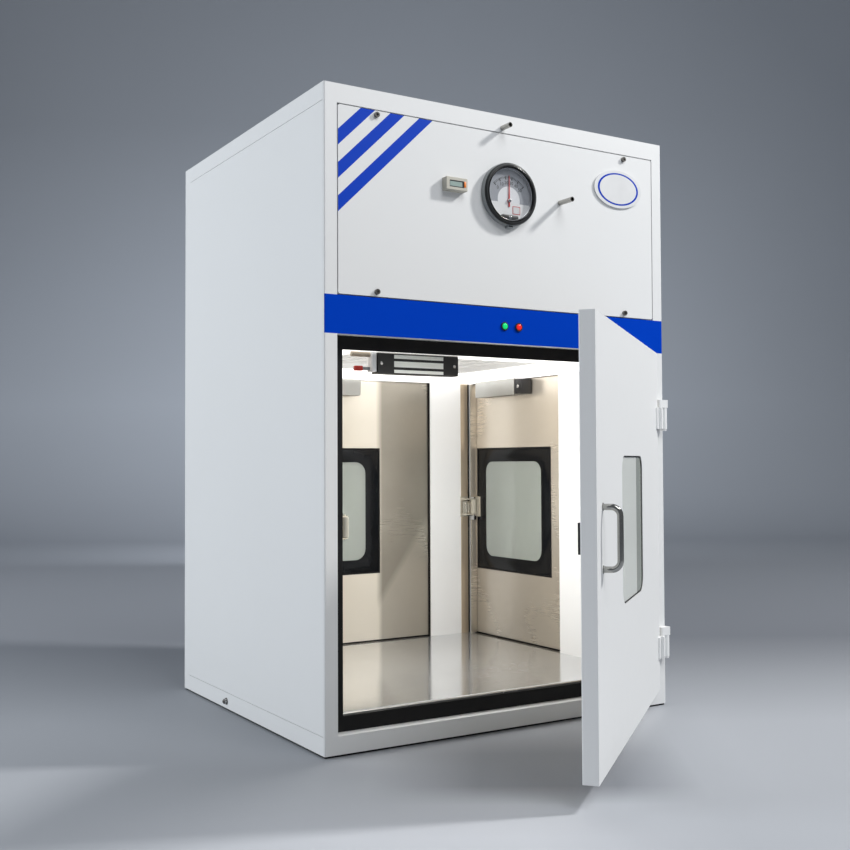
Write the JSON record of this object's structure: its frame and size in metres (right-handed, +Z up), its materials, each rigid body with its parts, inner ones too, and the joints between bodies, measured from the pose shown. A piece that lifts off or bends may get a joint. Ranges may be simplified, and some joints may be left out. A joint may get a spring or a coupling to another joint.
{
  "type": "cleanroom pass box",
  "caption": "Free-standing cleanroom pass-through cabinet: windowed doors on three sides, open front door, stainless chamber, filter and blower above, gauge and lamps.",
  "frame": {"origin": "centre of the underside of the base pad, on the floor", "axes": "+Z up; the front door's face looks along -Y; the side door is on the +X side; the rear door is on the +Y side"},
  "size_m": [0.837, 1.2849, 1.204],
  "materials": {
    "white_paint": "satin powder coat",
    "blue_paint": "satin",
    "stainless": "brushed",
    "aluminium_sheet": "satin",
    "lock_aluminium": "anodised",
    "chrome_handle": "polished",
    "black_steel": "blackened",
    "seal_rubber": "matt",
    "pane_glass": "clear",
    "clear_lens": "clear",
    "light_cover": "milky",
    "black_plastic": "matt",
    "roller_white": "matt",
    "gauge_grey": "satin",
    "dial_white": "matt",
    "pointer_red": "matt",
    "meter_beige": "matt",
    "lamp_green": "translucent",
    "lamp_red": "translucent",
    "filter_media": "matt",
    "motor_grey": "satin"
  },
  "bodies": {
    "cabinet": {"base_pad": "seal_rubber", "base_tray": "white_paint", "top_cap": "white_paint", "left_side_panel": "white_paint", "front_frame": "white_paint", "side_frame": "white_paint", "rear_frame": "white_paint", "header_fascia": "blue_paint", "service_cover": "white_paint", "cover_screws": "black_steel", "chamber_floor": "stainless", "chamber_left_wall": "stainless", "jamb_panels": "white_paint", "corner_post": "stainless", "ceiling_diffuser": "aluminium_sheet", "ceiling_lights": "light_cover", "hinge_blocks": "white_paint", "door_locks": "lock_aluminium", "buffer_brackets": "stainless", "gauge_case": "gauge_grey", "gauge_dial": "dial_white", "gauge_lens": "clear_lens", "hour_meter": "meter_beige", "ports": "stainless", "lamp_bezels": "black_plastic", "lamp_lens_green": "lamp_green", "lamp_lens_red": "lamp_red", "hepa_filter": "filter_media", "blower_deck": "aluminium_sheet", "blower_motor": "motor_grey", "prefilter": "filter_media", "front_door_seal": "seal_rubber", "side_door_seal": "seal_rubber", "rear_door_seal": "seal_rubber"},
    "front_door": {"front_door_shell": "white_paint", "front_door_liner": "stainless", "front_door_pane": "pane_glass", "front_door_handle": "chrome_handle", "front_door_hinge_leaves": "white_paint", "front_door_armature": "lock_aluminium", "front_door_strike": "black_steel"},
    "side_door": {"side_door_shell": "white_paint", "side_door_liner": "stainless", "side_door_pane": "pane_glass", "side_door_handle": "chrome_handle", "side_door_hinge_leaves": "white_paint", "side_door_armature": "lock_aluminium", "side_door_strike": "stainless"},
    "rear_door": {"rear_door_shell": "white_paint", "rear_door_liner": "stainless", "rear_door_pane": "pane_glass", "rear_door_handle": "chrome_handle", "rear_door_hinge_leaves": "white_paint", "rear_door_armature": "lock_aluminium", "rear_door_strike": "stainless"},
    "blower_wheel": {"impeller": "aluminium_sheet"},
    "pointer": {"gauge_pointer": "pointer_red"},
    "front_roller": {"front_buffer_roller": "roller_white"},
    "side_roller": {"side_buffer_roller": "roller_white"},
    "rear_roller": {"rear_buffer_roller": "roller_white"}
  },
  "joints": [
    {"name": "front_door_hinge", "type": "hinge", "parent": "cabinet", "child": "front_door", "pos_m": [0.392, -0.385, 0.39], "axis": [0, 0, 1], "range_deg": [-41, 69]},
    {"name": "side_door_hinge", "type": "hinge", "parent": "cabinet", "child": "side_door", "pos_m": [0.41, -0.092, 0.39], "axis": [0, 0, -1], "range_deg": [0, 110]},
    {"name": "rear_door_hinge", "type": "hinge", "parent": "cabinet", "child": "rear_door", "pos_m": [0.279, 0.385, 0.39], "axis": [0, 0, -1], "range_deg": [0, 110]},
    {"name": "blower_spin", "type": "hinge", "parent": "cabinet", "child": "blower_wheel", "pos_m": [0.004, 0, 0.96], "axis": [0, 0, 1], "continuous": true},
    {"name": "pointer_swing", "type": "hinge", "parent": "cabinet", "child": "pointer", "pos_m": [-0.003, -0.378, 1.034], "axis": [0, 1, 0], "range_deg": [-48, 48], "stiffness_Nm_per_rad": 0.0004},
    {"name": "front_roller_slide", "type": "slide", "parent": "cabinet", "child": "front_roller", "axis": [0, 1, 0], "range_m": [0, 0.003], "stiffness_N_per_m": 1500},
    {"name": "side_roller_slide", "type": "slide", "parent": "cabinet", "child": "side_roller", "axis": [-1, 0, 0], "range_m": [0, 0.003], "stiffness_N_per_m": 1500},
    {"name": "rear_roller_slide", "type": "slide", "parent": "cabinet", "child": "rear_roller", "axis": [0, -1, 0], "range_m": [0, 0.003], "stiffness_N_per_m": 1500}
  ]
}
